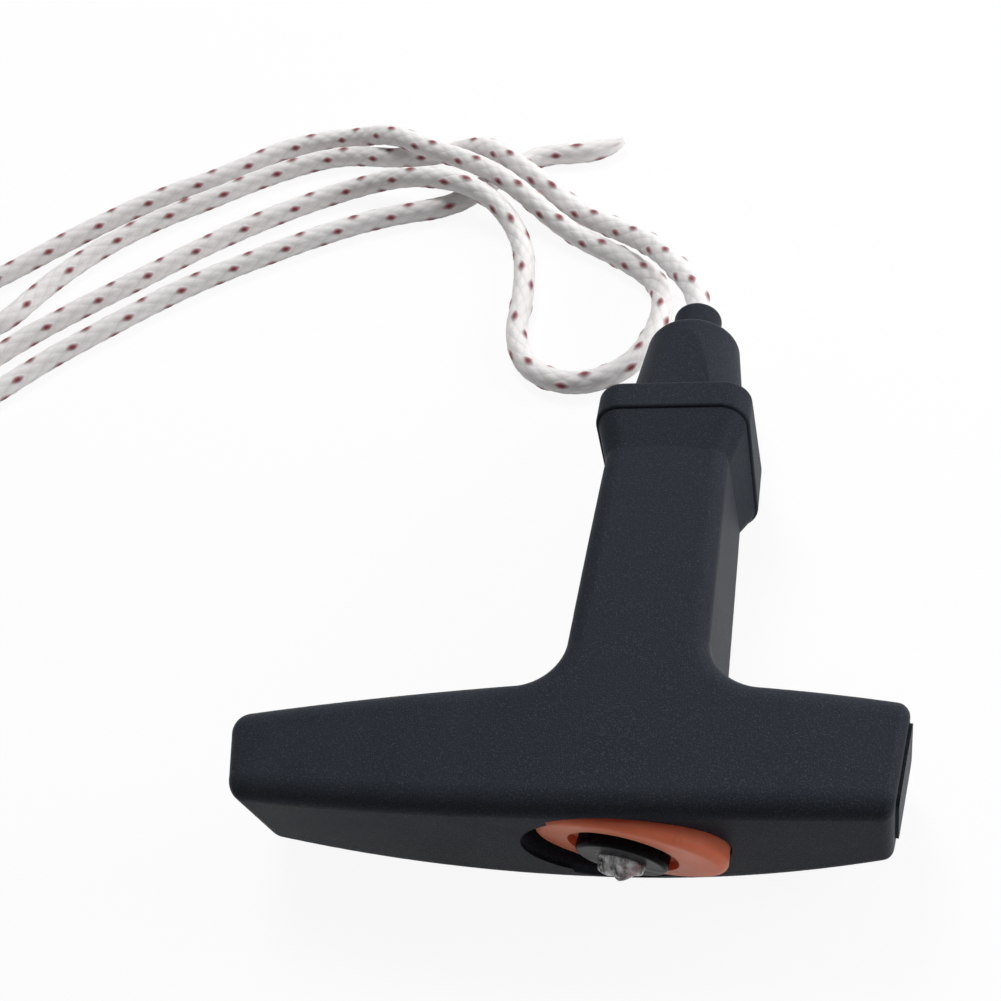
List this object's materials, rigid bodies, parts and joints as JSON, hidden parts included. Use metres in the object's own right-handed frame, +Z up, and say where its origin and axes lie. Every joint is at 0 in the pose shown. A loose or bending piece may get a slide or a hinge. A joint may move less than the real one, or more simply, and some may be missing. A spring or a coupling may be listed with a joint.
{
  "type": "recoil starter handle",
  "caption": "T-shaped pull grip for a recoil starter, with a long and a short arm, an elastomer damper, a rope nipple and a braided starter rope.",
  "frame": {"origin": "on the ground, under the middle of the grip's bounding box (body and damper, without the rope and what is on it)", "axes": "+X along the bar towards the short arm, +Y along the stem from the outer face to the nose, +Z up, as the handle lies on its back"},
  "size_m": [0.2475, 0.1835, 0.028],
  "materials": {
    "handle_plastic": "fine spark-eroded grain, dark blue-grey",
    "damper_elastomer": "smooth, slightly satin orange",
    "nipple_plastic": "smooth, black",
    "rope_braid": "braided polyester, off-white with dark red tracers",
    "rope_melt": "melted rope fibre, translucent grey"
  },
  "bodies": {
    "root": {"handle_body": "handle_plastic", "damper": "damper_elastomer", "rope_nipple": "nipple_plastic", "starter_rope": "rope_braid", "rope_stop": "rope_melt"}
  },
  "joints": []
}
